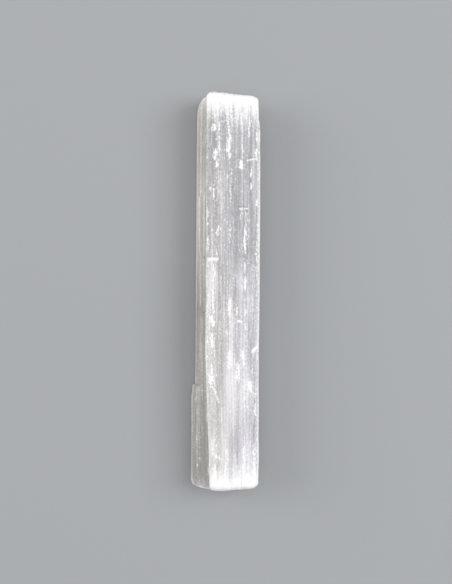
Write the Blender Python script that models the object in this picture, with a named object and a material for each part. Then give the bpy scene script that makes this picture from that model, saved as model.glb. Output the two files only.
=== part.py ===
"""Selenite crystal blade: a stick of fibrous gypsum (satin spar), modelled as one faceted solid.

The blade lies along Y with its underside on Z = 0. A box is cut by planes wherever a lath of the
crystal begins or ends, and every corner of that lattice is then moved to where the split stone has
it: a slanted left side, a ledge at the lower left, stepped laths, and worn, rounded ends.
"""
import math
import random

import bmesh
import bpy

MM = 0.001

# Driving dimensions in millimetres. Y runs along the fibres and Z is up.
LENGTH = 200.2
THICKNESS = 21.5
TOP_LEFT = -10.0
TOP_RIGHT = 16.8

# Edges of the blade along its length, each as (y, x). Values between the rows are interpolated.
NOTCH = (85.2, 82.8)
TOP_LEFT_EDGE = ((100.0, -9.7), (60.0, -9.9), (0.0, -10.1), (-30.0, -10.5), (-75.0, -8.9),
                 (-100.0, -8.2))
LEFT_FOOT_EDGE = ((94.0, -14.8), (80.0, -15.2), (20.0, -15.5), (-30.0, -15.9), (-46.0, -16.1),
                  (-100.0, -16.3))
RIGHT_EDGE = ((100.0, 15.9), (NOTCH[0], 16.05), (NOTCH[1], 16.8), (40.0, 16.75), (0.0, 16.55),
              (-30.0, 16.2), (-47.0, 16.0), (-60.0, 16.2), (-70.0, 15.95), (-84.0, 16.15), (-95.0, 15.8))

# The slanted left side is widest a little above its foot and tucks in below that.
FOOT_HEIGHT = 4.7
FOOT_TUCK = 1.3
RIGHT_TUCK = 0.6

# The ledge at the lower left: where it starts along Y, how proud it stands, and its top.
LEDGE_START = -47.9
LEDGE_PROUD = 1.95
LEDGE_FIRST = 0.7
LEDGE_HEIGHT = 12.0
LEDGE_SLOPE = 6.0

# The left layer ends before the main body does, in a rounded shoulder at each end.
SHOULDER_TOP = (91.2, 99.4)
SHOULDER_BOTTOM = (-99.2, -102.5)
SHOULDER_SHARES = (0.0, 0.3, 0.55)

# Worn ends: how far the rounding reaches along Y, and how far it draws the faces in.
END_REACH = 3.6
END_ANGLES = (0.0, 24.0, 47.0, 69.0)
END_DRAW_X = 3.0
END_DRAW_Z = 4.4
END_DOME = 0.7
END_GRIT = 0.14
END_SLOPE_FROM = -5.6
END_SLOPE_TOP = 0.115
END_SLOPE_BOTTOM = 0.0038
END_SLOPE_LEFT = 0.04
END_SLOPE_LEFT_FROM = -8.5
END_SLOPE_FADE = 25.0

# The top face is crowned a little, and its long edges are blunt.
CROWN = 0.0016
CROWN_CENTRE = 3.5
BLUNT = 0.28

# A step between two laths is a steep face this far across.
STEP = 0.24
HALF_STEP = STEP / 2.0

# Laths of the top face: from and to across, start and end along Y, height at the start and end.
# Those that run out at a worn end go past it.
PAST_END = 101.0
TOP_LATHS = (
    (-11.0, -4.1, PAST_END, 17.2, 0.05, -0.45),
    (-11.0, -4.1, 17.2, -58.0, 0.50, 0.10),
    (-4.1, -1.1, 66.6, -14.3, -0.05, -0.25),
    (-1.1, 3.4, PAST_END, 66.6, 0.30, 0.10),
    (0.6, 3.4, -4.2, -34.3, 0.40, 0.10),
    (5.4, 10.9, 42.0, -4.2, -0.45, -0.10),
    (5.4, 10.9, -34.3, -84.0, -0.10, 0.25),
    (10.9, 15.5, PAST_END, 66.6, 0.15, 0.35),
    (10.9, 15.5, 66.6, -34.3, -0.20, 0.05),
    (10.9, 15.5, -34.3, -PAST_END, -0.15, 0.10),
    (15.5, 18.0, PAST_END, -PAST_END, -1.00, -0.80),
)
TOP_EDGES = (-4.1, 5.4, 10.9, 15.5)
TOP_RIDGES = (-7.1, -2.6, -1.1, 0.6, 2.0, 3.4, 7.8, 9.3, 13.2)
TOP_RELIEF = 0.13
TOP_STATIONS = (66.6, 42.0, 17.2, -4.2, -14.3, -34.3, LEDGE_START)

# Heights at which the laths of the two sides meet, and the sizes of their seeded steps.
SIDE_EDGES = (3.1, 6.8, 9.4, LEDGE_HEIGHT, 15.2, 18.1)
LEFT_RELIEF = (0.30, 0.06, 0.22, 0.40, 0.48, 0.42, 0.15)
RIGHT_RELIEF = (0.48, 0.48, 0.48, 0.40, 0.30, 0.18, 0.06)
UNDER_RELIEF = 0.55
UNDER_FLAT = (-4.1, 5.4)
EDGE_LINE = 0.75

SEEDED_STATIONS = 12
SEEDED_RANGE = (-88.0, 84.0)
BREAK_CHANCE = 0.38
SMALLEST_GAP = 1.6
WIDEST_GAP = 5.2
SEED = 11

SPAR_COLOUR = (0.66, 0.66, 0.68, 1.0)
SPAR_ROUGHNESS = 0.35
SPAR_IOR = 1.52

# A lattice corner this close to a face of the box lies on it.
TOUCH = 0.0001


def along(y, rows):
    """Reads a value at y from rows of (y, value) that run from the top end down."""
    if y >= rows[0][0]:
        return rows[0][1]
    for (high, first), (low, second) in zip(rows, rows[1:]):
        if y >= low:
            return first + (second - first) * (high - y) / (high - low)
    return rows[-1][1]


def shoulder(y):
    """How much of the left layer is there at y: 1 along the blade, falling to 0 in a quarter ellipse."""
    share = 1.0
    for start, end in (SHOULDER_TOP, SHOULDER_BOTTOM):
        reach = (y - start) / (end - start)
        if reach > 0.0:
            share = math.sqrt(max(0.0, 1.0 - min(1.0, reach) ** 2))
    return share


def lath_height(across, y):
    """Height of the top face over its plane at one place, from the laths that pass there."""
    height = 0.0
    for low, high, start, end, first, second in TOP_LATHS:
        if low < across <= high and end <= y < start:
            height += first + (second - first) * (start - y) / (start - end)
    return height


def seeded_strips(rng, edges, stations, reliefs):
    """Cuts each strip between two edges into laths, as (low, high, start, end, seeded height)."""
    strips = []
    for low, high, relief in zip(edges, edges[1:], reliefs):
        start = PAST_END
        for station in list(stations) + [-PAST_END]:
            if station == -PAST_END or rng.random() < BREAK_CHANCE:
                strips.append((low, high, start, station, rng.uniform(-relief, relief)))
                start = station
    return strips


def strip_height(strips, place, y):
    """Height of the seeded lath at one place on a face."""
    for low, high, start, end, height in strips:
        if low < place <= high and end <= y < start:
            return height
    return 0.0


def seeded_stations(rng, taken):
    """Places along Y where seeded laths break off, clear of the places already taken."""
    stations = []
    while len(stations) < SEEDED_STATIONS:
        y = rng.uniform(*SEEDED_RANGE)
        if all(abs(y - other) > SMALLEST_GAP for other in list(taken) + stations):
            stations.append(y)
    return sorted(stations, reverse=True)


def filled(lines, widest):
    """Sorts lines and adds more wherever two of them are further apart than the widest gap."""
    lines = sorted(lines)
    result = [lines[0]]
    for line in lines[1:]:
        gap = line - result[-1]
        pieces = max(1, math.ceil(gap / widest))
        start = result[-1]
        result += [start + gap * (k + 1) / pieces for k in range(pieces)]
    return result


def step_pair(places):
    """Two lines for each step, one at its foot and one at its top."""
    return [place + side for place in places for side in (-HALF_STEP, HALF_STEP)]


def end_stations():
    """Stations of the worn ends: a quarter circle in four parts, and the shoulders of the left layer."""
    start = LENGTH / 2.0 - END_REACH
    arc = [start + END_REACH * math.sin(math.radians(angle)) for angle in END_ANGLES]
    first, last = SHOULDER_TOP
    shoulders = [first + (last - first) * share for share in SHOULDER_SHARES]
    return arc + [-y for y in arc] + shoulders


def lattice_box(across, stations, heights):
    """A closed box, cut by a plane at each line across, along and up."""
    bm = bmesh.new()
    bmesh.ops.create_cube(bm, size=1.0)
    for vert in bm.verts:
        vert.co.x = TOP_RIGHT if vert.co.x > 0.0 else TOP_LEFT
        vert.co.y *= LENGTH
        vert.co.z = THICKNESS if vert.co.z > 0.0 else 0.0
    for axis, lines in enumerate((across, stations, heights)):
        normal = [0.0, 0.0, 0.0]
        normal[axis] = 1.0
        for line in lines:
            point = [value * line for value in normal]
            geometry = bm.verts[:] + bm.edges[:] + bm.faces[:]
            bmesh.ops.bisect_plane(bm, geom=geometry, plane_co=point, plane_no=normal)
    return bm


def left_side(y, height):
    """X of the left side at one height: the slant, its tucked foot and the ledge."""
    edge = along(y, TOP_LEFT_EDGE)
    flare = (edge - along(y, LEFT_FOOT_EDGE)) * shoulder(y)
    if height > FOOT_HEIGHT:
        share = (THICKNESS - height) / (THICKNESS - FOOT_HEIGHT)
        x = edge - flare * share
    else:
        x = edge - flare + FOOT_TUCK * (1.0 - height / FOOT_HEIGHT)
    if y < LEDGE_START and height < LEDGE_HEIGHT:
        wedge = min(1.0, (LEDGE_START - y) / LEDGE_SLOPE)
        x -= LEDGE_PROUD * (LEDGE_FIRST + (1.0 - LEDGE_FIRST) * wedge) * shoulder(y)
    return x


def right_side(y, height):
    """X of the right side at one height: it leans in a little towards its foot."""
    return along(y, RIGHT_EDGE) - RIGHT_TUCK * (1.0 - height / THICKNESS)


def end_short(x, y):
    """How far the worn end stops short at x, so that both ends run a little askew."""
    beyond = max(0.0, x - END_SLOPE_FROM)
    if y > 0.0:
        short = END_SLOPE_TOP * beyond
    else:
        short = END_SLOPE_BOTTOM * beyond ** 2 + END_SLOPE_LEFT * max(0.0, END_SLOPE_LEFT_FROM - x)
    fade = max(0.0, (abs(y) - LENGTH / 2.0 + END_SLOPE_FADE) / END_SLOPE_FADE)
    return short * fade ** 2


def place_vertex(vert, strips, rng):
    """Moves one corner of the lattice to its place on the stone."""
    across, y, height = vert.co
    on_left, on_right = across < TOP_LEFT + TOUCH, across > TOP_RIGHT - TOUCH
    on_top, on_under = height > THICKNESS - TOUCH, height < TOUCH
    on_end = abs(y) > LENGTH / 2.0 - TOUCH

    # Across: the lattice is stretched between the two sides of this section.
    share = (across - TOP_LEFT) / (TOP_RIGHT - TOP_LEFT)
    left, right = left_side(y, height), right_side(y, height)
    if not on_top and not on_under:
        left -= strip_height(strips["left"], height, y)
        right += strip_height(strips["right"], height, y)
    x = left + (right - left) * share

    # Up: crown and laths on the top face, shallow hollows under the blade.
    z = height
    lift = lath_height(across, y) + strip_height(strips["top"], across, y)
    lift -= CROWN * (x - CROWN_CENTRE) ** 2
    z += lift * height / THICKNESS
    if on_under and not UNDER_FLAT[0] < across < UNDER_FLAT[1]:
        z += max(0.0, strip_height(strips["under"], across, y))

    # Blunt long edges.
    if (on_left or on_right) and (on_top or on_under):
        x += BLUNT if on_left else -BLUNT
        z += BLUNT if on_under else -BLUNT

    # Worn ends: drawn in on a quarter circle, domed and gritty on the end face.
    centre_x, centre_z = (left + right) / 2.0, THICKNESS / 2.0
    reach = max(0.0, abs(y) - LENGTH / 2.0 + END_REACH) / END_REACH
    drawn = 1.0 - math.sqrt(max(0.0, 1.0 - min(1.0, reach) ** 2))
    x -= (x - centre_x) * drawn * END_DRAW_X / ((right - left) / 2.0)
    z -= (z - centre_z) * drawn * END_DRAW_Z / (THICKNESS / 2.0)
    short = end_short(x, y)
    if on_end:
        inner = 16.0 * share * (1.0 - share) * height * (THICKNESS - height) / THICKNESS ** 2
        short += END_DOME * (1.0 - inner) + rng.uniform(-END_GRIT, END_GRIT)
    y -= math.copysign(1.0, y) * short
    vert.co = (x, y, z)


def build_blade():
    """The whole blade as one closed mesh object, centred over the origin."""
    rng = random.Random(SEED)
    seeded = seeded_stations(rng, TOP_STATIONS + NOTCH)
    top_edges = sorted((TOP_LEFT,) + TOP_EDGES + TOP_RIDGES + (TOP_RIGHT,))
    side_edges = (0.0,) + SIDE_EDGES + (THICKNESS,)
    under_edges = (TOP_LEFT,) + TOP_EDGES + (TOP_RIGHT,)
    strips = {
        "top": seeded_strips(rng, top_edges, seeded, [TOP_RELIEF] * len(top_edges)),
        "left": seeded_strips(rng, side_edges, seeded, LEFT_RELIEF),
        "right": seeded_strips(rng, side_edges, seeded, RIGHT_RELIEF),
        "under": seeded_strips(rng, under_edges, seeded, [UNDER_RELIEF] * len(under_edges)),
    }
    across = step_pair(TOP_EDGES) + list(TOP_RIDGES) + [TOP_LEFT + EDGE_LINE, TOP_RIGHT - EDGE_LINE]
    steps = step_pair(TOP_STATIONS) + step_pair(seeded) + list(NOTCH) + end_stations()
    stations = filled([-LENGTH / 2.0] + steps + [LENGTH / 2.0], WIDEST_GAP)[1:-1]
    heights = step_pair(SIDE_EDGES) + [EDGE_LINE, FOOT_HEIGHT, THICKNESS - EDGE_LINE]

    bm = lattice_box(sorted(across), stations, sorted(heights))
    for vert in bm.verts:
        place_vertex(vert, strips, rng)
    bmesh.ops.triangulate(bm, faces=bm.faces[:], quad_method="FIXED")
    bmesh.ops.recalc_face_normals(bm, faces=bm.faces[:])

    lows = [min(vert.co[axis] for vert in bm.verts) for axis in range(3)]
    highs = [max(vert.co[axis] for vert in bm.verts) for axis in range(3)]
    for vert in bm.verts:
        vert.co.x = (vert.co.x - (lows[0] + highs[0]) / 2.0) * MM
        vert.co.y = (vert.co.y - (lows[1] + highs[1]) / 2.0) * MM
        vert.co.z = (vert.co.z - lows[2]) * MM

    mesh = bpy.data.meshes.new("selenite_blade")
    bm.to_mesh(mesh)
    bm.free()
    print("blade:", len(mesh.polygons), "triangles, from", lows, "to", highs, "millimetres")
    return bpy.data.objects.new("selenite_blade", mesh)


def spar_material():
    """Milky, silky gypsum."""
    material = bpy.data.materials.new("satin_spar")
    material.use_nodes = True
    shader = material.node_tree.nodes["Principled BSDF"]
    shader.inputs["Base Color"].default_value = SPAR_COLOUR
    shader.inputs["Roughness"].default_value = SPAR_ROUGHNESS
    shader.inputs["Metallic"].default_value = 0.0
    shader.inputs["IOR"].default_value = SPAR_IOR
    return material


def main():
    """Clears the scene and puts the blade in a collection of its own."""
    for item in list(bpy.data.objects):
        bpy.data.objects.remove(item)
    collection = bpy.data.collections.new("selenite_crystal_blade")
    bpy.context.scene.collection.children.link(collection)
    blade = build_blade()
    blade.data.materials.append(spar_material())
    collection.objects.link(blade)


main()
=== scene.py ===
# %% [markdown]
# # A selenite crystal blade
# Sticks like this one are satin spar: gypsum that grew as straight fibres, side by side, and was
# split off along them. The split leaves long flat laths with small steps between them, silky and
# grey where the stone is whole, and milky white wherever it is bruised. Both ends are frosted.
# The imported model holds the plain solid, so it is loaded first, as the frame for everything here.

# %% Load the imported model
import math
import random

import bmesh
import bpy
import numpy as np
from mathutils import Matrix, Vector, noise


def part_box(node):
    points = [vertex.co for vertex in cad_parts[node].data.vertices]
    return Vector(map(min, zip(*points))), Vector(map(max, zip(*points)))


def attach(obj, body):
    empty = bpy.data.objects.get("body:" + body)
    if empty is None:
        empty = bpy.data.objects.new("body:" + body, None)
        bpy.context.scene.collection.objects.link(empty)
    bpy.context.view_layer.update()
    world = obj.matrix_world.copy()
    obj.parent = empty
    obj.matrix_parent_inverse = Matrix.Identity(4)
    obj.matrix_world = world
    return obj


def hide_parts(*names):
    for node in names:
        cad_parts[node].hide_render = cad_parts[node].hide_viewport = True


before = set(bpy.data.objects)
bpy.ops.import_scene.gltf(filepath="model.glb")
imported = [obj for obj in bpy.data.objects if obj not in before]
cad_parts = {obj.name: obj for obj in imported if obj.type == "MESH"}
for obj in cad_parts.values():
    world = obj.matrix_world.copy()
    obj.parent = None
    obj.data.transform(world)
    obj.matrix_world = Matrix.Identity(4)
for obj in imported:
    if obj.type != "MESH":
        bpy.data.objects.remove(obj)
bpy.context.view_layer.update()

# %% [markdown]
# ## Driving dimensions
# A stone has no drawing, so its shape is a few long edges, read as pairs of a place along the
# fibres and a place across them. Numbers in a short table are easier to judge against the stone
# than a sculpted mesh is, and they match the solid's own. Y runs along the fibres and Z is up.

# %% Sizes and edges, in millimetres
MM = 0.001
LENGTH = 200.2
THICKNESS = 21.5
TOP_LEFT = -10.0
TOP_RIGHT = 16.8
WIDTH = TOP_RIGHT - TOP_LEFT

NOTCH = (85.2, 82.8)
TOP_LEFT_EDGE = ((100.0, -9.7), (60.0, -9.9), (0.0, -10.1), (-30.0, -10.5), (-75.0, -8.9),
                 (-100.0, -8.2))
LEFT_FOOT_EDGE = ((94.0, -14.8), (80.0, -15.2), (20.0, -15.5), (-30.0, -15.9), (-46.0, -16.1),
                  (-100.0, -16.3))
RIGHT_EDGE = ((100.0, 15.9), (NOTCH[0], 16.05), (NOTCH[1], 16.8), (40.0, 16.75), (0.0, 16.55),
              (-30.0, 16.2), (-47.0, 16.0), (-60.0, 16.2), (-70.0, 15.95), (-84.0, 16.15),
              (-95.0, 15.8))


def along(y, rows):
    """Reads values at y from rows of (y, value) that run from the top end down."""
    places, values = zip(*reversed(rows))
    return np.interp(y, places, values)


print("width at mid length:", along(0.0, RIGHT_EDGE) - along(0.0, LEFT_FOOT_EDGE), "mm")

# %% [markdown]
# ## The two sides
# The left side slants out to a foot and tucks in under it. Low down it carries a ledge, where a
# layer is still attached, and that layer ends in a rounded shoulder near each end of the stone.
# Functions of the place along the stone say this more exactly than pulling corners by hand.

# %% Where the sides are at any height
FOOT_HEIGHT = 4.7
FOOT_TUCK = 1.3
RIGHT_TUCK = 0.6
LEDGE_START = -47.9
LEDGE_PROUD = 1.95
LEDGE_FIRST = 0.7
LEDGE_HEIGHT = 12.0
LEDGE_SLOPE = 6.0
SHOULDER_TOP = (91.2, 99.4)
SHOULDER_BOTTOM = (-99.2, -102.5)


def shoulder(y):
    """How much of the left layer is there: 1 along the blade, falling to 0 in a quarter ellipse."""
    share = np.ones_like(y)
    for start, end in (SHOULDER_TOP, SHOULDER_BOTTOM):
        reach = np.clip((y - start) / (end - start), 0.0, 1.0)
        share = np.minimum(share, np.sqrt(1.0 - reach ** 2))
    return share


def left_side(y, height):
    """X of the left side at one height: the slant, its tucked foot and the ledge."""
    edge = along(y, TOP_LEFT_EDGE)
    flare = (edge - along(y, LEFT_FOOT_EDGE)) * shoulder(y)
    slant = edge - flare * (THICKNESS - height) / (THICKNESS - FOOT_HEIGHT)
    tucked = edge - flare + FOOT_TUCK * (1.0 - height / FOOT_HEIGHT)
    x = np.where(height > FOOT_HEIGHT, slant, tucked)
    wedge = np.minimum(1.0, (LEDGE_START - y) / LEDGE_SLOPE)
    proud = LEDGE_PROUD * (LEDGE_FIRST + (1.0 - LEDGE_FIRST) * wedge) * shoulder(y)
    return np.where((y < LEDGE_START) & (height < LEDGE_HEIGHT), x - proud, x)


def right_side(y, height):
    """X of the right side at one height: it leans in a little towards its foot."""
    return along(y, RIGHT_EDGE) - RIGHT_TUCK * (1.0 - height / THICKNESS)


# %% [markdown]
# ## Laths and their steps
# Each face is a set of long flat strips that broke off at different depths. The broad ones on the
# top face are placed one by one, because they are what one sees first. The narrow ones come from a
# seeded draw, in the same order as in the solid's own script, so both have the same steps.

# %% Laths listed one by one and laths from a seeded draw
PAST_END = 101.0
TOP_LATHS = (  # from and to across, start and end along Y, height at the start and at the end
    (-11.0, -4.1, PAST_END, 17.2, 0.05, -0.45),
    (-11.0, -4.1, 17.2, -58.0, 0.50, 0.10),
    (-4.1, -1.1, 66.6, -14.3, -0.05, -0.25),
    (-1.1, 3.4, PAST_END, 66.6, 0.30, 0.10),
    (0.6, 3.4, -4.2, -34.3, 0.40, 0.10),
    (5.4, 10.9, 42.0, -4.2, -0.45, -0.10),
    (5.4, 10.9, -34.3, -84.0, -0.10, 0.25),
    (10.9, 15.5, PAST_END, 66.6, 0.15, 0.35),
    (10.9, 15.5, 66.6, -34.3, -0.20, 0.05),
    (10.9, 15.5, -34.3, -PAST_END, -0.15, 0.10),
    (15.5, 18.0, PAST_END, -PAST_END, -1.00, -0.80),
)
TOP_EDGES = (-4.1, 5.4, 10.9, 15.5)
TOP_RIDGES = (-7.1, -2.6, -1.1, 0.6, 2.0, 3.4, 7.8, 9.3, 13.2)
TOP_RELIEF = 0.13
TOP_STATIONS = (66.6, 42.0, 17.2, -4.2, -14.3, -34.3, LEDGE_START)
SIDE_EDGES = (3.1, 6.8, 9.4, LEDGE_HEIGHT, 15.2, 18.1)
LEFT_RELIEF = (0.30, 0.06, 0.22, 0.40, 0.48, 0.42, 0.15)
RIGHT_RELIEF = (0.48, 0.48, 0.48, 0.40, 0.30, 0.18, 0.06)
UNDER_RELIEF = 0.55
UNDER_FLAT = (-4.1, 5.4)
SEEDED_STATIONS = 12
SEEDED_RANGE = (-88.0, 84.0)
SMALLEST_GAP = 1.6
BREAK_CHANCE = 0.38
SEED = 11


def seeded_stations(rng, taken):
    """Places along Y where seeded laths break off, clear of the places already taken."""
    stations = []
    while len(stations) < SEEDED_STATIONS:
        y = rng.uniform(*SEEDED_RANGE)
        if all(abs(y - other) > SMALLEST_GAP for other in list(taken) + stations):
            stations.append(y)
    return sorted(stations, reverse=True)


def seeded_laths(rng, edges, stations, reliefs):
    """Cuts each strip between two edges into laths of one seeded height, listed as in TOP_LATHS."""
    laths = []
    for low, high, relief in zip(edges, edges[1:], reliefs):
        start = PAST_END
        for station in list(stations) + [-PAST_END]:
            if station == -PAST_END or rng.random() < BREAK_CHANCE:
                height = rng.uniform(-relief, relief)
                laths.append((low, high, start, station, height, height))
                start = station
    return laths


def lath_height(place, y, laths):
    """Height of a face over its plane, from the laths that pass each place."""
    height = np.zeros_like(y)
    for low, high, start, end, first, last in laths:
        inside = (place > low) & (place <= high) & (y >= end) & (y < start)
        height += np.where(inside, first + (last - first) * (start - y) / (start - end), 0.0)
    return height


rng = random.Random(SEED)
seeded = seeded_stations(rng, TOP_STATIONS + NOTCH)
top_lines = sorted((TOP_LEFT,) + TOP_EDGES + TOP_RIDGES + (TOP_RIGHT,))
side_lines = (0.0,) + SIDE_EDGES + (THICKNESS,)
under_lines = (TOP_LEFT,) + TOP_EDGES + (TOP_RIGHT,)
top_laths = seeded_laths(rng, top_lines, seeded, [TOP_RELIEF] * len(top_lines)) + list(TOP_LATHS)
left_laths = seeded_laths(rng, side_lines, seeded, LEFT_RELIEF)
right_laths = seeded_laths(rng, side_lines, seeded, RIGHT_RELIEF)
under_laths = seeded_laths(rng, under_lines, seeded, [UNDER_RELIEF] * len(under_lines))
print("laths on top:", len(top_laths), "left:", len(left_laths), "right:", len(right_laths),
      "under:", len(under_laths))

# %% [markdown]
# ## A box cut into a lattice
# A form with long straight steps wants mesh lines exactly on those steps, which a remesh or a
# displaced grid would blur. So a cube is cut by subdividing its edges along one axis at a time.
# Each cut is then moved to a chosen line: two lines close together where there is a step, and
# evenly spaced ones between them, fine enough across the fibres to carry their grain.

# %% Lines of the lattice
STEP = 0.24
ACROSS_GAP = 0.23
ALONG_GAP = 1.2
UP_GAP = 0.38
CROSS_CRACKS = (65.5, 41.2, -14.6, -45.6)
CRACK_LINES = (-0.6, -0.3, 0.0, 0.3, 0.6)
END_REACH = 3.6
END_ANGLES = (0.0, 12.0, 24.0, 36.0, 47.0, 58.0, 69.0, 79.0)


def step_pair(places):
    """Two lines for each step, one at its foot and one at its top."""
    return [place + side * STEP / 2.0 for place in places for side in (-1.0, 1.0)]


def filled(lines, widest):
    """Sorts lines and adds more wherever two of them are further apart than the widest gap."""
    lines = sorted(lines)
    result = [lines[0]]
    for line in lines[1:]:
        start = result[-1]
        pieces = max(1, math.ceil((line - start) / widest))
        result += [start + (line - start) * (k + 1) / pieces for k in range(pieces)]
    return np.array(result)


arc = [LENGTH / 2.0 - END_REACH + END_REACH * math.sin(math.radians(angle)) for angle in END_ANGLES]
ends = [-LENGTH / 2.0, LENGTH / 2.0] + arc + [-y for y in arc]
cracks = [crack + offset for crack in CROSS_CRACKS for offset in CRACK_LINES]
across_lines = filled([TOP_LEFT, TOP_RIGHT] + step_pair(TOP_EDGES) + list(TOP_RIDGES), ACROSS_GAP)
along_steps = step_pair(TOP_STATIONS) + step_pair(seeded)
along_lines = filled(ends + along_steps + list(NOTCH) + cracks, ALONG_GAP)
up_lines = filled([0.0, THICKNESS, FOOT_HEIGHT] + step_pair(SIDE_EDGES), UP_GAP)
print("lines across, along and up:", len(across_lines), len(along_lines), len(up_lines))

# %% Cut the cube
def lattice_cube(counts):
    """A cube of side 1 whose edges along X, Y and Z are cut into as many lines as counts says."""
    bm = bmesh.new()
    bmesh.ops.create_cube(bm, size=1.0)
    for axis in (1, 0, 2):
        uncut = [edge for edge in bm.edges
                 if abs(edge.verts[0].co[axis] - edge.verts[1].co[axis]) > 0.9]
        bmesh.ops.subdivide_edges(bm, edges=uncut, cuts=counts[axis] - 2, use_grid_fill=True)
    return bm


line_sets = (across_lines, along_lines, up_lines)
bm = lattice_cube([len(lines) for lines in line_sets])
cube = np.array([vert.co for vert in bm.verts])
index = [np.rint((cube[:, axis] + 0.5) * (len(lines) - 1)).astype(int)
         for axis, lines in enumerate(line_sets)]
across, y_line, height = [lines[index[axis]] for axis, lines in enumerate(line_sets)]
on_left, on_right = index[0] == 0, index[0] == len(across_lines) - 1
on_under, on_top = index[2] == 0, index[2] == len(up_lines) - 1
on_end = (index[1] == 0) | (index[1] == len(along_lines) - 1)
inside_end = on_end & ~(on_left | on_right | on_top | on_under)
print("lattice:", len(bm.verts), "vertices,", len(bm.faces), "faces")

# %% [markdown]
# ## Grain that follows the stone round
# Fibres never cross an edge of the stone, they run along it. So the grain is looked up by the
# distance round the section, not by X or Z, and it passes over the long edges without a seam.
# The seam is at the left foot, which the slanted side hides.

# %% Distance round the section, and the grain noise
girth = np.where(on_top, across - TOP_LEFT, WIDTH + THICKNESS - height)
girth = np.where(on_under, WIDTH + THICKNESS + TOP_RIGHT - across, girth)
girth = np.where(on_left & ~on_under, height - THICKNESS, girth)
girth = np.where(inside_end, across - TOP_LEFT, girth)


def grain(place, y, width, length, layer):
    """Noise from -1 to 1 with features of one width and length; a layer is one slice of it."""
    points = np.column_stack((place / width, y / length, np.full_like(y, layer))).tolist()
    return np.array([noise.noise(point) for point in points])


print("girth of the section:", float(girth.max() - girth.min()), "mm")

# %% [markdown]
# ## From the lattice to the stone
# Every lattice point is moved once, by plain arithmetic on whole arrays: round the long edges,
# stretch the section between the two sides, raise the laths, and draw the ends in on a quarter
# circle. The splinters make the steps ragged, because fibres never break off in one straight line.

# %% Round the long edges and fray the steps
EDGE_ROUND = 0.8
FRAY_ALONG = (  # place round the section, and how far splinters run: the top face broke cleanest
    (-THICKNESS, 0.6), (-9.5, 0.9), (-6.0, 2.4), (-3.0, 2.4), (0.0, 0.9), (WIDTH, 0.9),
    (WIDTH + 4.0, 3.0), (2.0 * WIDTH + THICKNESS - 4.0, 3.0), (2.0 * WIDTH + THICKNESS, 0.6),
)
FRAY_ACROSS = 0.16
FRAY_FROM_END = 6.0

inner_across = np.clip(across, TOP_LEFT + EDGE_ROUND, TOP_RIGHT - EDGE_ROUND)
inner_height = np.clip(height, EDGE_ROUND, THICKNESS - EDGE_ROUND)
out_across, out_height = across - inner_across, height - inner_height
reach = np.hypot(out_across, out_height)
square = np.maximum(np.abs(out_across), np.abs(out_height))
rounding = np.divide(square, reach, out=np.ones_like(reach), where=reach > 0.0)
round_across = inner_across + out_across * rounding
round_height = inner_height + out_height * rounding

fray = np.clip((LENGTH / 2.0 - END_REACH - np.abs(y_line)) / FRAY_FROM_END, 0.0, 1.0)
fray_along = np.interp(girth, *zip(*FRAY_ALONG))
y = y_line + fray_along * fray * grain(girth, y_line, 0.9, 14.0, 1.5)
bow = FRAY_ACROSS * fray * grain(girth, y_line, 3.0, 9.0, 2.5)
print("most that a step is frayed:", float(np.abs(y - y_line).max()), "mm")

# %% Stretch the section between the sides, and raise the laths
CROWN = 0.0016
CROWN_CENTRE = 3.5
LATH_FADE = 1.1
HOLLOW_FADE = 3.0
INSIDE_FADE = 5.0  # inside an end face the steps of four faces would cross, so they die out

share = np.clip((round_across - TOP_LEFT) / WIDTH, 0.0, 1.0)
fade = np.where(inside_end, INSIDE_FADE, 1.0)
clear = np.clip(height / LATH_FADE, 0.0, 1.0) * np.clip((THICKNESS - height) / LATH_FADE, 0.0, 1.0)
left, right = left_side(y_line, round_height), right_side(y_line, round_height)
x = left + (right - left) * share + bow * (on_top | on_under)
x -= clear * lath_height(height, y_line, left_laths) * (1.0 - share) ** fade
x += clear * lath_height(height, y_line, right_laths) * share ** fade

lift = lath_height(across, y_line, top_laths) - CROWN * (x - CROWN_CENTRE) ** 2
hollow = np.maximum(0.0, lath_height(across, y_line, under_laths))
hollow = np.where((across > UNDER_FLAT[0]) & (across < UNDER_FLAT[1]), 0.0, hollow)
hollow *= np.clip(1.0 - height / HOLLOW_FADE, 0.0, 1.0)
z = round_height + lift * (height / THICKNESS) ** fade + hollow
print("top face from", float(z[on_top].min()), "to", float(z[on_top].max()), "mm")

# %% [markdown]
# ## Worn ends
# The ends were sawn or snapped and then rubbed. They are blunt, a little askew, and rough like
# sugar. A bevel would leave a clean chamfer, so the rounding is a quarter ellipse that draws the
# section in, and three sizes of noise push the end face in and out.

# %% Draw the ends in and roughen them
END_DRAW_X = 3.0
END_DRAW_Z = 4.4
END_DOME = 0.25
END_SLOPE_FROM = -5.6
END_SLOPE_TOP = 0.115
END_SLOPE_BOTTOM = 0.0038
END_SLOPE_LEFT = 0.04
END_SLOPE_LEFT_FROM = -8.5
END_SLOPE_FADE = 25.0
GRIT_SIZES = ((4.5, 0.42), (1.9, 0.26), (0.8, 0.15))


def end_short(x, y):
    """How far the worn end stops short at x, so that both ends run a little askew."""
    beyond = np.maximum(0.0, x - END_SLOPE_FROM)
    corner = np.maximum(0.0, END_SLOPE_LEFT_FROM - x)
    bottom = END_SLOPE_BOTTOM * beyond ** 2 + END_SLOPE_LEFT * corner
    short = np.where(y > 0.0, END_SLOPE_TOP * beyond, bottom)
    near_end = (np.abs(y) - LENGTH / 2.0 + END_SLOPE_FADE) / END_SLOPE_FADE
    return short * np.maximum(0.0, near_end) ** 2


def grit(x, y, z):
    """Rough, sugary noise of the worn ends, in millimetres."""
    total = np.zeros_like(x)
    for size, depth in GRIT_SIZES:
        points = np.column_stack((x, y, z)) / size
        total += depth * np.array([noise.noise(point) for point in points.tolist()])
    return total


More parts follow.
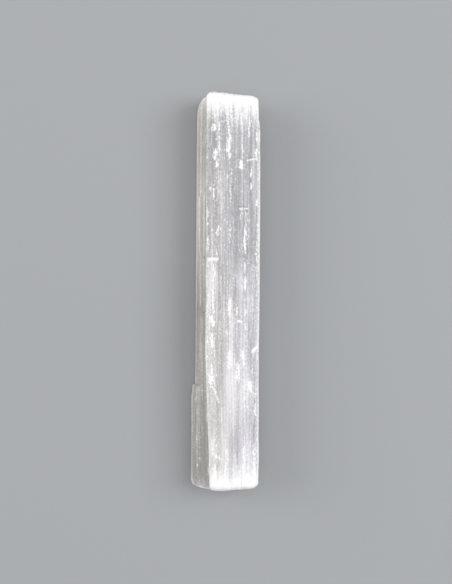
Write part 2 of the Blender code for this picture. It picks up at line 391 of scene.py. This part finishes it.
turn = np.clip((np.abs(y) - LENGTH / 2.0 + END_REACH) / END_REACH, 0.0, 1.0)
drawn = 1.0 - np.sqrt(1.0 - turn ** 2)
x = x - (x - (left + right) / 2.0) * drawn * END_DRAW_X / ((right - left) / 2.0)
z = z - (z - THICKNESS / 2.0) * drawn * END_DRAW_Z / (THICKNESS / 2.0)
inner = 16.0 * share * (1.0 - share) * height * (THICKNESS - height) / THICKNESS ** 2
y = y - np.sign(y) * (end_short(x, y) + END_DOME * turn ** 2 * (1.0 - inner))
shape = np.column_stack((x, y, z))
print("length:", float(np.ptp(y)), "mm, width:", float(np.ptp(x)), "mm")

# %% [markdown]
# ## Surface grain and chips
# The last layer is pushed along the surface's own normals, so that it goes round edges and ends
# alike: ridges of the fibres in three widths, the sugar of the ends, and small bruises where the
# long edges were knocked. Bump alone would leave the outline and the exported mesh smooth.

# %% Chips along the four long edges
CHIPS_PER_EDGE = 24
CHIP_EDGES = (  # place round the section, and how deep its chips go: the foot's edges are tight
    (0.0, 1.0), (WIDTH, 1.0), (WIDTH + THICKNESS, 0.45), (-THICKNESS, 0.45),
)
CHIP_RANGE = (-92.0, 90.0)
CHIP_LENGTH = (0.8, 4.2)
CHIP_REACH = (0.5, 1.3)
CHIP_DEPTH = (0.12, 0.5)
CHIP_SEED = 7

chip_rng = random.Random(CHIP_SEED)
chip_depth = np.zeros_like(y)
for edge, deepness in CHIP_EDGES:
    for _ in range(CHIPS_PER_EDGE):
        centre, half_length = chip_rng.uniform(*CHIP_RANGE), chip_rng.uniform(*CHIP_LENGTH)
        wide, deep = chip_rng.uniform(*CHIP_REACH), deepness * chip_rng.uniform(*CHIP_DEPTH)
        bowl = 1.0 - ((girth - edge) / wide) ** 2 - ((y - centre) / half_length) ** 2
        chip_depth = np.maximum(chip_depth, deep * np.clip(bowl, 0.0, 1.0))
print("chips:", CHIPS_PER_EDGE * len(CHIP_EDGES), "deepest", float(chip_depth.max()), "mm")

# %% Push the grain along the normals
RIDGES = ((2.6, 60.0, 0.10), (1.0, 34.0, 0.06), (0.5, 16.0, 0.04))  # width, length and height
GRIT_START = 7.0

for vert, place in zip(bm.verts, shape.tolist()):
    vert.co = place
bm.normal_update()
normals = np.array([vert.normal for vert in bm.verts])
frosted = np.clip(1.0 - (LENGTH / 2.0 - np.abs(y)) / GRIT_START, 0.0, 1.0)
push = frosted * grit(x, y, z) - chip_depth
for layer, (width, length, depth) in enumerate(RIDGES):
    push += depth * (1.0 - frosted) * grain(girth, y, width, length, layer + 4.5)
push = np.where(on_under, np.minimum(push, 0.0), push)
shape = shape + normals * push[:, None]

# %% [markdown]
# ## Milky streaks
# Where fibres have parted, air gets in and the grey stone turns milk white. The streaks of the
# top face are what makes this stone this one, so each is a named stroke: where it starts and
# ends, how wide it is and how strong. The hidden faces get strokes of the same kinds from a
# seeded draw. They are kept as a number on each mesh point, which the material reads.

# %% Strokes of the top face: x and y at the start, x and y at the end, width, strength
UPPER_STROKES = (
    (-3.6, 84.5, -3.5, 68.6, 0.9, 0.75), (-6.1, 89.0, -6.1, 83.0, 0.6, 0.6),
    (-6.1, 82.4, -6.1, 80.6, 1.9, 1.0), (-5.5, 70.0, -5.3, 66.4, 1.8, 0.9),
    (-4.7, 64.4, -4.7, 62.0, 1.2, 1.1), (7.2, 64.3, 7.2, 61.6, 1.6, 1.4),
    (0.7, 57.4, 0.7, 56.6, 1.0, 1.1), (0.8, 90.0, 0.8, 83.5, 1.0, 0.7),
    (0.8, 83.5, 1.7, 76.0, 1.1, 0.95), (1.7, 76.0, 1.1, 71.0, 1.7, 1.0),
    (1.1, 71.0, 1.8, 66.3, 1.5, 0.95), (0.2, 73.0, 0.2, 69.0, 0.8, 0.8),
    (7.9, 74.8, 7.9, 65.3, 0.6, 0.75), (11.4, 88.0, 11.4, 76.2, 0.7, 0.85),
    (7.4, 88.0, 7.4, 80.0, 1.0, 0.6), (15.0, 78.8, 15.0, 74.8, 1.0, 0.95),
    (15.0, 70.5, 15.0, 68.9, 1.0, 0.95), (15.0, 67.6, 15.0, 65.9, 1.0, 0.95),
    (10.1, 65.2, 15.4, 65.9, 0.6, 1.05), (12.4, 60.6, 12.4, 56.9, 0.9, 0.95),
    (12.4, 54.1, 12.4, 50.4, 0.9, 0.95), (-6.2, 51.4, -6.2, 46.0, 1.0, 0.85),
    (-7.9, 51.5, -7.9, 50.5, 1.0, 1.0), (2.2, 61.0, 2.2, 48.0, 1.0, 0.55),
    (1.9, 50.4, 1.9, 43.5, 0.7, 0.65), (15.1, 45.5, 15.1, 43.0, 1.0, 1.1),
)
MIDDLE_STROKES = (
    (-4.1, 32.6, -4.5, 26.9, 0.9, 0.95), (-4.7, 26.9, -4.7, 22.3, 0.6, 0.6),
    (-4.7, 20.4, -4.9, 18.2, 0.8, 0.9), (-9.2, 40.5, -9.2, 37.0, 0.8, 0.85),
    (-9.2, 34.0, -9.2, 33.3, 1.0, 1.0), (-9.2, 27.3, -9.2, 26.5, 0.8, 0.95),
    (-9.2, 25.6, -9.2, 21.6, 0.6, 0.65), (-9.0, 16.1, -4.6, 16.1, 1.6, 1.3),
    (-7.0, 14.0, -5.6, 8.0, 0.9, 0.9), (-6.3, 8.0, -7.1, -1.0, 0.8, 0.7),
    (-7.1, -1.0, -6.7, -8.0, 0.9, 0.85), (-6.7, -8.0, -5.9, -11.0, 0.9, 0.85),
    (-7.3, -12.9, -6.6, -16.5, 1.9, 1.15), (-7.2, -20.5, -7.2, -28.5, 1.2, 0.95),
    (-7.2, -36.0, -7.2, -42.4, 1.2, 0.95), (-7.4, -42.6, -7.4, -44.4, 2.3, 1.1),
    (-9.4, 15.0, -9.4, -58.0, 0.8, 0.5), (6.3, 41.2, 11.1, 41.2, 0.7, 0.85),
    (9.1, 32.2, 9.1, 18.9, 0.9, 1.15), (9.3, 14.4, 9.3, 8.7, 0.8, 0.95),
    (9.3, 7.1, 9.3, 1.0, 1.2, 1.25), (9.3, -8.0, 9.2, -24.0, 0.8, 0.65),
    (1.9, 33.0, 1.9, 23.8, 1.0, 0.6), (15.1, 26.0, 15.1, -2.7, 0.6, 0.65),
    (1.7, -3.5, 1.5, -12.1, 1.8, 1.15), (5.2, -8.4, 5.0, -11.6, 1.1, 1.0),
    (5.8, -14.4, 7.6, -14.8, 1.0, 1.0), (-3.6, -9.8, -1.2, -11.3, 0.5, 0.7),
    (-0.2, -19.8, 1.0, -21.3, 0.9, 0.95),
)
LOWER_STROKES = (
    (-9.3, -45.2, -5.9, -45.9, 0.9, 0.85), (-7.0, -47.0, -3.9, -54.8, 0.9, 0.85),
    (1.7, -30.0, 1.7, -38.4, 2.0, 0.95), (5.9, -37.0, 5.9, -43.4, 2.4, 0.85),
    (8.5, -29.0, 8.5, -37.0, 1.2, 0.95), (11.8, -45.9, 11.8, -48.8, 1.8, 1.2),
    (13.4, -29.8, 15.9, -26.6, 1.5, 1.2), (14.2, -56.0, 14.2, -62.0, 0.8, 0.9),
    (8.6, -77.0, 8.6, -93.5, 1.0, 0.95), (13.8, -76.0, 13.8, -94.3, 1.9, 0.7),
    (0.2, -78.5, 0.2, -89.6, 1.2, 0.6), (-5.2, -82.0, -5.2, -82.7, 1.0, 1.1),
    (-3.6, -82.2, -3.6, -82.9, 0.9, 1.0), (-12.5, -84.0, -12.5, -85.6, 0.8, 1.0),
    (-14.6, -87.6, -14.6, -88.5, 1.1, 1.1),
)
top_strokes = UPPER_STROKES + MIDDLE_STROKES + LOWER_STROKES
print("strokes on the top face:", len(top_strokes))

# %% Strokes of the other faces, and the number on each point
HIDDEN_STROKES = 90
HIDDEN_RANGES = ((-THICKNESS + 0.5, -0.6), (WIDTH + 0.6, 2.0 * WIDTH + THICKNESS - 0.5))
HIDDEN_STARTS = (-88.0, 90.0)
HIDDEN_LEAN = (-0.5, 0.5)
HIDDEN_STRENGTH = (0.55, 1.1)
LONG_CHANCE = 0.6
LONG_SIZES = ((6.0, 26.0), (0.5, 1.0))  # range of lengths, range of widths
SHORT_SIZES = ((0.6, 3.0), (1.0, 2.0))
HIDDEN_SEED = 23
LEFT_FAINTER = 0.7
THIN_END = 0.45
TAPERED_FROM = 3.0  # widths: a shorter stroke is a blot, and has no thin ends
STROKE_SOFTNESS = 0.62
STROKE_WANDER = 0.4
CHIP_MILK = 0.7


def hidden_strokes(rng):
    """Seeded strokes for the two sides and the underside, as (girth, y) pairs."""
    strokes = []
    for number in range(HIDDEN_STROKES):
        place = rng.uniform(*HIDDEN_RANGES[0 if number % 4 == 0 else 1])
        start = rng.uniform(*HIDDEN_STARTS)
        lengths, widths = LONG_SIZES if rng.random() < LONG_CHANCE else SHORT_SIZES
        length, width = rng.uniform(*lengths), rng.uniform(*widths)
        end_place, strength = place + rng.uniform(*HIDDEN_LEAN), rng.uniform(*HIDDEN_STRENGTH)
        strokes.append((place, start, end_place, start - length, width, strength))
    return strokes


def milk_of(place, y, strokes):
    """How milky each point is: the strongest stroke near it, soft across and thin at its ends."""
    whiteness = np.zeros_like(y)
    for start_x, start_y, end_x, end_y, width, strength in strokes:
        run = np.array((end_x - start_x, end_y - start_y))
        reach = ((place - start_x) * run[0] + (y - start_y) * run[1]) / (run @ run)
        reach = np.clip(reach, 0.0, 1.0)
        away = np.hypot(place - start_x - reach * run[0], y - start_y - reach * run[1])
        taper = THIN_END + (1.0 - THIN_END) * np.sqrt(4.0 * reach * (1.0 - reach))
        fullness = taper if run @ run > (TAPERED_FROM * width) ** 2 else 1.0
        spread = STROKE_SOFTNESS * width * fullness
        whiteness = np.maximum(whiteness, strength * np.exp(-(away / spread) ** 2))
    return whiteness


wander = STROKE_WANDER * grain(x, y, 5.0, 3.2, 9.5)
whiteness = np.where(on_top | (normals[:, 2] > 0.5), milk_of(x + wander, y, top_strokes), 0.0)
hidden = milk_of(girth + wander, y, hidden_strokes(random.Random(HIDDEN_SEED)))
hidden = hidden * np.where(girth < 0.0, LEFT_FAINTER, 1.0)
whiteness = np.maximum(whiteness, np.where(on_top, 0.0, hidden))
whiteness = np.maximum(whiteness, CHIP_MILK * np.sqrt(np.clip(chip_depth / CHIP_DEPTH[1], 0.0, 1.0)))
print("share of points that are milky:", float((whiteness > 0.5).mean()))

# %% Painted highlights on the rims of the long edges, and lines where laths meet
# The rims are painted highlights where the rounded long edges catch the light; how milky is how
# white the highlight is painted.
RIM_HIGHLIGHTS = (  # middle and half width round the section, how milky, how much paler
    (WIDTH - 0.2, 0.6, 1.5, 1.0),
    (0.2, 0.5, 0.0, 0.3),
    (FOOT_HEIGHT - THICKNESS + 0.9, 1.8, 0.0, 0.55),
    (WIDTH + THICKNESS, 0.7, 0.6, 0.4),
)
LINE_WIDTH = 0.28
LINE_STRENGTH = (0.0, 1.0)
LINE_MILK = 0.42
LINE_PALER = 0.32
LEFT_LINES = 0.5
RIM_MEAN = 0.8
RIM_UNEVEN = 0.5


def lath_lines(rng, place, y, laths):
    """Thin milky lines on the edges of laths, each with a strength of its own."""
    glow = np.zeros_like(y)
    for low, _, start, end, _, _ in laths:
        line = np.exp(-((place - low) / LINE_WIDTH) ** 2) * ((y < start) & (y > end))
        glow = np.maximum(glow, rng.uniform(*LINE_STRENGTH) * line)
    return glow


line_rng = random.Random(HIDDEN_SEED)
uneven = RIM_MEAN + RIM_UNEVEN * grain(girth, y, 1.2, 6.0, 10.5)
lines = on_top * lath_lines(line_rng, across, y_line, top_laths)
left_lines = LEFT_LINES * on_left * lath_lines(line_rng, height, y_line, left_laths)
right_lines = on_right * lath_lines(line_rng, height, y_line, right_laths)
lines = np.maximum(lines, np.maximum(left_lines, right_lines))
whiteness = np.maximum(whiteness, LINE_MILK * uneven * lines)
paler = LINE_PALER * lines
# Each rim adds a painted highlight: higher white streak values and a paler tone along its edge.
for middle, half_width, highlight_white, pale_part in RIM_HIGHLIGHTS:
    rim_highlight = uneven * np.exp(-((girth - middle) / half_width) ** 2)
    whiteness = np.maximum(whiteness, highlight_white * rim_highlight)
    paler = np.maximum(paler, pale_part * rim_highlight)
print("with rims and lines:", float((whiteness > 0.5).mean()))

# %% [markdown]
# ## Cloudy and clear stretches
# Between the streaks the stone is not one grey. It is paler towards its lower end and clearer,
# with a cool lilac cast, where light passes straight through. These are wide soft patches, so
# they too are kept as a number on each point: a trend along the length, and a few ovals on it.
# More numbers of the same kind say where the fibres are bruised, where the cast turns from cream
# to lilac, and how far the wear of the ends reaches into the fibres. The number for cloudiness also
# holds painted shade on the slanted left side and painted highlights on the rims, and the one for
# wear holds painted shade too: less frost on that slanted side.

# %% Cloudiness, and painted shade on the shaded side
CLOUD_TREND = ((100.0, 0.35), (80.0, 0.22), (60.0, 0.2), (40.0, 0.2), (10.0, 0.35), (-20.0, 0.5),
               (-60.0, 0.6), (-85.0, 0.7), (-100.0, 0.9))
PATCHES = (  # x and y of the middle, half width, half length, how much paler
    (-2.4, 52.0, 2.2, 7.0, 0.28), (6.9, 4.5, 1.7, 9.0, 0.32), (2.3, -44.0, 3.2, 20.0, 0.42),
    (-2.8, -38.0, 1.7, 17.0, -0.45), (12.6, -23.0, 2.0, 12.0, -0.22), (4.1, -75.7, 2.1, 6.5, -0.30),
    (9.0, -88.0, 8.0, 9.0, 0.15), (-2.4, 6.0, 2.0, 16.0, -0.22), (-5.5, 76.0, 3.5, 14.0, -0.18),
    (6.5, 86.0, 5.5, 5.0, 0.50), (6.0, 74.0, 3.0, 8.0, 0.12), (-6.8, 4.0, 2.8, 12.0, 0.50),
    (10.0, 19.0, 4.5, 8.0, -0.22), (1.0, -12.0, 3.0, 10.0, 0.20), (3.6, -17.0, 1.8, 7.0, 0.25),
    (8.0, -52.0, 3.5, 8.0, 0.15), (10.5, -66.0, 2.5, 9.0, -0.22), (-5.5, -21.0, 3.0, 8.0, -0.15),
    (-6.0, -77.0, 3.0, 5.0, 0.30),
)
# SHADED_TREND is painted shade: on the slanted left side it sets the tone, darker towards the lower
# end and the ledge.
SHADED_TREND = ((100.0, 0.62), (85.0, 0.5), (70.0, 0.4), (52.0, 0.75), (30.0, 0.55), (10.0, 0.4),
                (-9.0, 0.12), (-30.0, 0.22), (-48.0, 0.25), (-70.0, 0.03), (-100.0, 0.05))
SHADE_RISE = 1.5
BRUISES = (  # x and y of the middle, half width, half length, how much rougher (negative: calmer)
    (3.0, 86.0, 11.0, 5.0, 0.35), (-4.5, 74.0, 3.0, 13.0, 0.25), (-4.5, 50.0, 4.0, 9.0, 0.22),
    (8.7, 37.5, 2.6, 4.5, 0.45), (14.0, 20.0, 1.6, 16.0, 0.25), (-6.8, -2.0, 1.6, 18.0, 0.30),
    (-6.8, -34.0, 1.6, 16.0, 0.35), (3.0, -16.0, 4.5, 9.0, 0.22), (9.2, -47.5, 3.6, 7.0, 0.45),
    (6.0, -34.0, 4.0, 8.0, 0.25), (-5.5, -78.0, 3.0, 8.0, 0.30), (14.5, -60.0, 2.0, 30.0, 0.25),
    (1.5, -62.0, 4.5, 24.0, -0.55), (1.5, 10.0, 4.5, 10.0, -0.40), (6.8, 53.0, 3.0, 10.0, -0.35),
)


def patches_of(rows):
    """The sum of soft ovals, each given by its middle, half width, half length and strength."""
    total = np.zeros_like(y)
    for middle_x, middle_y, half_width, half_length, strength in rows:
        oval = ((x - middle_x) / half_width) ** 2 + ((y - middle_y) / half_length) ** 2
        total += strength * np.exp(-oval)
    return total


shaded = np.clip(-girth / SHADE_RISE, 0.0, 1.0)
cloud_and_painted_light = along(y, CLOUD_TREND) + on_top * patches_of(PATCHES)
# On the shaded side the tone is painted shade from SHADED_TREND, and paler adds the painted
# highlights of the rims.
cloud_and_painted_light = cloud_and_painted_light + shaded * (along(y, SHADED_TREND) - cloud_and_painted_light) + paler
bruised = on_top * patches_of(BRUISES)

# %% Where the cast turns from cream to lilac, how worn the ends are, and painted shade on their frost
CAST_TURNS_AT = ((100.0, -4.0), (80.0, -6.5), (60.0, -5.0), (50.0, -2.0), (30.0, -4.5), (0.0, 1.0),
                 (-60.0, 3.0), (-100.0, 1.0))
CAST_SPREAD = 5.0
TOP_CREAM = 0.5
WORN_TOP = (82.5, 95.0)
WORN_BOTTOM = (85.0, 98.5)
# Less frost on the shaded side at the ends is painted shade.
FROST_DIMMED_IN_SHADE = 0.55  # how much less the shaded side is worn
CUT_BORDER = 8  # how sharply the cut fibres of an end face begin

cream = TOP_CREAM * np.clip(0.5 - (x - along(y, CAST_TURNS_AT)) / (2.0 * CAST_SPREAD), 0.0, 1.0)
cream = cream + (1.0 - TOP_CREAM) * shaded

upper = (y - WORN_TOP[0]) / (WORN_TOP[1] - WORN_TOP[0])
lower = (-y - WORN_BOTTOM[0]) / (WORN_BOTTOM[1] - WORN_BOTTOM[0])
worn = np.clip(np.maximum(upper, lower), -1.0, 1.5) - FROST_DIMMED_IN_SHADE * shaded + turn ** CUT_BORDER
print("cloudiness from", float(cloud_and_painted_light.min()), "to", float(cloud_and_painted_light.max()))
print("share of points that are worn:", float((worn > 1.0).mean()))

# %% [markdown]
# ## The finished piece
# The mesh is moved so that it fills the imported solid's box, from its lowest point up, and its
# object stays at the origin. It is shaded smooth, with real edges left sharp, and it stands for
# the plain solid of the same stone.

# %% Build the mesh in the solid's place
SHARP_ANGLE = 40.0

low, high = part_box("selenite_blade")
middle = np.array([(low[0] + high[0]) / 2.0, (low[1] + high[1]) / 2.0])
shape[:, :2] += middle / MM - (shape[:, :2].min(axis=0) + shape[:, :2].max(axis=0)) / 2.0
shape[:, 2] += low[2] / MM - shape[:, 2].min()
for vert, place in zip(bm.verts, (shape * MM).tolist()):
    vert.co = place
bmesh.ops.recalc_face_normals(bm, faces=bm.faces[:])

mesh = bpy.data.meshes.new("selenite_blade_fibres")
bm.to_mesh(mesh)
bm.free()
point_values = {"whiteness": whiteness, "cloud_and_painted_light": cloud_and_painted_light, "bruised": bruised, "cream": cream, "worn": worn}
for name, values in point_values.items():
    mesh.attributes.new(name, "FLOAT", "POINT").data.foreach_set("value", values.astype(np.float32))
mesh.shade_smooth()
mesh.set_sharp_from_angle(angle=math.radians(SHARP_ANGLE))
blade = bpy.data.objects.new("selenite_blade_fibres", mesh)
bpy.context.scene.collection.objects.link(blade)
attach(blade, "root")
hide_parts("selenite_blade")
print("blade:", sum(len(face.vertices) - 2 for face in mesh.polygons), "triangles")

# %% [markdown]
# ## Helpers for materials
# Colours are written as sRGB hex values, as a colour picker shows them, and turned to the linear
# values that Blender's shaders use. One small function adds a node with its settings and links.

# %% Colour and node helpers
def colour(text):
    """Turns an sRGB hex value such as #C8C8CC into linear red, green, blue and alpha."""
    parts = [int(text[start:start + 2], 16) / 255.0 for start in (1, 3, 5)]
    linear = [part / 12.92 if part <= 0.04045 else ((part + 0.055) / 1.055) ** 2.4
              for part in parts]
    return linear + [1.0]


def add(tree, kind, *inputs, settings=None, **named):
    """Adds one node. Inputs come in order or by name, each a plain value, a socket or a node."""
    node = tree.nodes.new(kind)
    for name, value in (settings or {}).items():
        setattr(node, name, value)
    enabled = [socket for socket in node.inputs if socket.enabled]
    by_name = {socket.name.replace(" ", "_").lower(): socket for socket in reversed(enabled)}
    in_order = list(zip(enabled, inputs))
    for socket, value in in_order + [(by_name[name], value) for name, value in named.items()]:
        if isinstance(value, bpy.types.Node):
            value = next(output for output in value.outputs if output.enabled)
        if isinstance(value, bpy.types.NodeSocket):
            tree.links.new(value, socket)
        else:
            socket.default_value = value
    return node


# %% [markdown]
# ## Satin spar
# Satin spar is fibrous gypsum, split and hardly polished. Gypsum's IOR is 1.52. Light goes into
# it and wanders along the fibres, so it glows at thin edges and hides what lies under it, and
# its silky sheen comes from thousands of fine ridges. The base is a Principled shader with some
# transmission and a shallow subsurface, and its colour is moved by noises that are drawn out
# along the fibres, at the sizes of the stone's laths, bundles, threads and broken specks. Real
# threads and specks are too fine to show in the render, so those two are drawn coarser.

# %% The material of the stone, and its fibre noises
FIBRES = (  # width and length in millimetres, and how much finer detail
    (3.0, 150.0, 2.0),  # laths
    (1.0, 45.0, 2.0),  # bundles of threads
    (0.5, 12.0, 4.0),  # threads, drawn coarser than the real 0.1 mm so that they show
    (0.7, 1.2, 4.0),  # specks of broken threads, drawn coarser than the real 0.2 mm
    (1.2, 26.0, 2.0),  # tongues of the frost at both ends
)
MULTIPLY = {"operation": "MULTIPLY"}
MULTIPLY_ADD = {"operation": "MULTIPLY_ADD"}
MAXIMUM = {"operation": "MAXIMUM"}
SMOOTH = {"interpolation_type": "SMOOTHSTEP"}
COLOURS = {"data_type": "RGBA"}

material = bpy.data.materials.new("satin_spar_gypsum")
material.use_nodes = True
tree = material.node_tree
tree.nodes.clear()
place = add(tree, "ShaderNodeTexCoord").outputs["Object"]
points = {name: add(tree, "ShaderNodeAttribute", settings={"attribute_name": name}).outputs["Fac"]
          for name in point_values}
noises = []
for width, length, detail in FIBRES:
    scale = (1.0 / (width * MM), 1.0 / (length * MM), 1.0 / (width * MM))
    stretched = add(tree, "ShaderNodeMapping", place, scale=scale)
    noises.append(add(tree, "ShaderNodeTexNoise", stretched, scale=1.0, detail=detail))
laths, bundles, threads, speckle, tongues = noises
print("fibre noises:", len(noises), "numbers on the points:", sorted(points))

# %% Grey bands, from clear to milky, with a lilac or a creamy cast
CLEAR_GREY = "#A4A4A4"
MILKY_GREY = "#E8E8E8"
LILAC_CAST = "#FBF9FF"
CREAM_CAST = "#FFFAF4"
BAND_MIDDLE = 2.0
BAND_WEIGHTS = ((laths, 0.9), (bundles, 0.9), (threads, 1.0), (speckle, 1.2))

bands = -BAND_MIDDLE
for fibre, weight in BAND_WEIGHTS:
    bands = add(tree, "ShaderNodeMath", fibre, weight, bands, settings=MULTIPLY_ADD)
rougher = add(tree, "ShaderNodeMath", points["bruised"], 1.0)
tone = add(tree, "ShaderNodeMath", bands, rougher, points["cloud_and_painted_light"], settings=MULTIPLY_ADD)
# Where the tone holds painted shade on the shaded side this mix goes towards CLEAR_GREY, and where
# it holds the rims' painted highlights towards MILKY_GREY.
base = add(tree, "ShaderNodeMix", tone, colour(CLEAR_GREY), colour(MILKY_GREY), settings=COLOURS)
cast = add(tree, "ShaderNodeMix", points["cream"], colour(LILAC_CAST), colour(CREAM_CAST),
           settings=COLOURS)
base = add(tree, "ShaderNodeMix", 1.0, base, cast, settings={**COLOURS, "blend_type": "MULTIPLY"})

# %% White streaks and painted rim highlights with broken, grainy edges, and white hairs on bruised fibres
STREAK_AND_HIGHLIGHT_WHITE = "#FDFDFB"
STREAK_WEIGHTS = ((speckle, 2.6), (threads, 1.0))
STREAK_EDGE = (2.05, 2.7)
STREAK_HALO = 0.35
GLOW_EDGE = (1.0, 1.9)
HAIR_WEIGHTS = ((speckle, 2.2), (threads, 1.2))
HAIR_EDGE = (2.0, 2.6)
HAIR_WHITE = 0.85

broken = points["whiteness"]
for fibre, weight in STREAK_WEIGHTS:
    broken = add(tree, "ShaderNodeMath", fibre, weight, broken, settings=MULTIPLY_ADD)
hairs = points["bruised"]
for fibre, weight in HAIR_WEIGHTS:
    hairs = add(tree, "ShaderNodeMath", fibre, weight, hairs, settings=MULTIPLY_ADD)
hairs = add(tree, "ShaderNodeMapRange", hairs, *HAIR_EDGE, 0.0, HAIR_WHITE, settings=SMOOTH)
halo = add(tree, "ShaderNodeMath", points["whiteness"], STREAK_HALO, settings=MULTIPLY)
glow = add(tree, "ShaderNodeMapRange", tone, *GLOW_EDGE)
streak_and_highlight = add(tree, "ShaderNodeMapRange", broken, *STREAK_EDGE, settings=SMOOTH)
for other in (halo, glow, hairs):
    streak_and_highlight = add(tree, "ShaderNodeMath", streak_and_highlight, other, settings=MAXIMUM)
# This white paints the milky streaks and also the painted highlights of the rims.
base = add(tree, "ShaderNodeMix", streak_and_highlight, base, colour(STREAK_AND_HIGHLIGHT_WHITE), settings=COLOURS)

# %% Frost at both ends, running into the fibres in a fringe
FROST_WHITE = "#FEFEFC"
FROST_WEIGHTS = ((tongues, 1.3), (speckle, 0.6))
FROST_EDGE = (1.05, 1.95)

fringe = points["worn"]
for fibre, weight in FROST_WEIGHTS:
    fringe = add(tree, "ShaderNodeMath", fibre, weight, fringe, settings=MULTIPLY_ADD)
frost = add(tree, "ShaderNodeMapRange", fringe, *FROST_EDGE, settings=SMOOTH)
base = add(tree, "ShaderNodeMix", frost, base, colour(FROST_WHITE), settings=COLOURS)

# %% Cut fibres on the end faces
END_GREY = "#D2D2D3"
CUT_EDGE = (1.6, 2.4)
CUT_GAPS = (1.2, 0.75)

cut = add(tree, "ShaderNodeMapRange", points["worn"], *CUT_EDGE, settings=SMOOTH)
between = add(tree, "ShaderNodeMath", bundles, threads)
between = add(tree, "ShaderNodeMapRange", between, *CUT_GAPS)
cut = add(tree, "ShaderNodeMath", cut, between, settings=MULTIPLY)
base = add(tree, "ShaderNodeMix", cut, base, colour(END_GREY), settings=COLOURS)

# %% Sheen, fine relief and the light inside
GYPSUM_IOR = 1.52
ROUGH_FIBRES = 0.36
ROUGH_FROST = 0.7
THREAD_RELIEF = 0.5
BUMP_STRENGTH = 0.5
BUMP_DEPTH = 0.22
CLEARNESS = 0.25
MILKINESS = 0.8
GLOW_REACH = 3.5
GLOW_COLOURS = (1.0, 0.96, 0.94)  # red light wanders a little further than blue
DEPTH_TINT = "#E4E4EA"
DEPTH_DENSITY = 6.0

white = add(tree, "ShaderNodeMath", streak_and_highlight, frost, settings=MAXIMUM)
frost_extra = ROUGH_FROST - ROUGH_FIBRES
roughness = add(tree, "ShaderNodeMath", white, frost_extra, ROUGH_FIBRES, settings=MULTIPLY_ADD)
grainy = add(tree, "ShaderNodeMath", speckle, white, settings=MULTIPLY)
relief = add(tree, "ShaderNodeMath", threads, THREAD_RELIEF, bundles, settings=MULTIPLY_ADD)
relief = add(tree, "ShaderNodeMath", grainy, relief)
bump = add(tree, "ShaderNodeBump", strength=BUMP_STRENGTH, distance=BUMP_DEPTH * MM, height=relief)
shader = add(tree, "ShaderNodeBsdfPrincipled", base_color=base, roughness=roughness, normal=bump,
             ior=GYPSUM_IOR, transmission_weight=CLEARNESS, subsurface_weight=MILKINESS,
             subsurface_radius=GLOW_COLOURS, subsurface_scale=GLOW_REACH * MM)
absorption = add(tree, "ShaderNodeVolumeAbsorption", colour(DEPTH_TINT), DEPTH_DENSITY)
add(tree, "ShaderNodeOutputMaterial", shader, absorption)
blade.data.materials.append(material)
print("material:", material.name, "with", len(tree.nodes), "nodes")

# %% [markdown]
# ## A floor, soft light and the camera
# A plain pale floor lets the white stone stand out by its shadow. Its matte paint is a quiet grey
# round the stone and turns paler with distance, so that a low view ends in no dark horizon. The
# main light is a wide panel high on the right, which leaves the slanted left side in gentle
# shade. The camera looks straight down from about half a metre above the stone.

# %% Floor
FLOOR_SIZE = 24.0
FLOOR_GAP = 0.0002
FLOOR_FADE = (0.8, 4.0)
NEAR_GREY = "#909294"
FAR_GREY = "#EDEFF1"
PAINT_ROUGHNESS = 0.9

floor_bm = bmesh.new()
bmesh.ops.create_grid(floor_bm, x_segments=1, y_segments=1, size=FLOOR_SIZE / 2.0)
bmesh.ops.translate(floor_bm, verts=floor_bm.verts, vec=(0.0, 0.0, -FLOOR_GAP))
floor_mesh = bpy.data.meshes.new("pale_floor")
floor_bm.to_mesh(floor_mesh)
floor_bm.free()
floor = bpy.data.objects.new("pale_floor", floor_mesh)
bpy.context.scene.collection.objects.link(floor)
floor_paint = bpy.data.materials.new("matte_pale_paint")
floor_paint.use_nodes = True
tree = floor_paint.node_tree
tree.nodes.clear()
place = add(tree, "ShaderNodeTexCoord").outputs["Object"]
away = add(tree, "ShaderNodeVectorMath", place, settings={"operation": "LENGTH"}).outputs["Value"]
fade = add(tree, "ShaderNodeMapRange", away, *FLOOR_FADE, settings=SMOOTH)
grey = add(tree, "ShaderNodeMix", fade, colour(NEAR_GREY), colour(FAR_GREY), settings=COLOURS)
shader = add(tree, "ShaderNodeBsdfPrincipled", base_color=grey, roughness=PAINT_ROUGHNESS)
add(tree, "ShaderNodeOutputMaterial", shader)
floor.data.materials.append(floor_paint)
print("floor:", FLOOR_SIZE, "m wide, paler beyond", FLOOR_FADE[0], "m")

# %% Lights
PANELS = (  # name, place in metres, size in metres, power in watts: each faces the stone
    ("key_panel", (1.38, 0.3, 1.38), 1.1, 26.5),
    ("overhead_panel", (0.0, 0.12, 2.4), 2.0, 15.0),
    ("fill_panel", (-1.65, 0.37, 1.0), 1.25, 18.0),
)
SKY_WHITE = "#FBFCFD"
SKY_STRENGTH = 0.6

for name, spot, size, power in PANELS:
    light = bpy.data.lights.new(name, "AREA")
    light.size = size
    light.energy = power
    lamp = bpy.data.objects.new(name, light)
    lamp.location = spot
    lamp.rotation_euler = Vector(spot).to_track_quat("Z", "Y").to_euler()
    bpy.context.scene.collection.objects.link(lamp)
world = bpy.data.worlds.new("soft_studio")
world.use_nodes = True
sky = world.node_tree.nodes["Background"]
sky.inputs["Color"].default_value = colour(SKY_WHITE)
sky.inputs["Strength"].default_value = SKY_STRENGTH
bpy.context.scene.world = world
bpy.context.scene.view_settings.view_transform = "Standard"
print("lights:", len(PANELS), "panels")

# %% Camera
CAMERA_HEIGHT = 480.0
FRAME_HEIGHT = 290.0
CAMERA_PLACE = (0.45, -0.2)

camera_data = bpy.data.cameras.new("camera")
camera_data.sensor_width = 36.0
camera_data.lens = camera_data.sensor_width * CAMERA_HEIGHT / FRAME_HEIGHT
camera = bpy.data.objects.new("camera", camera_data)
camera.location = Vector(CAMERA_PLACE + (THICKNESS + CAMERA_HEIGHT,)) * MM
bpy.context.scene.collection.objects.link(camera)
bpy.context.scene.camera = camera
print("lens:", camera_data.lens, "mm")
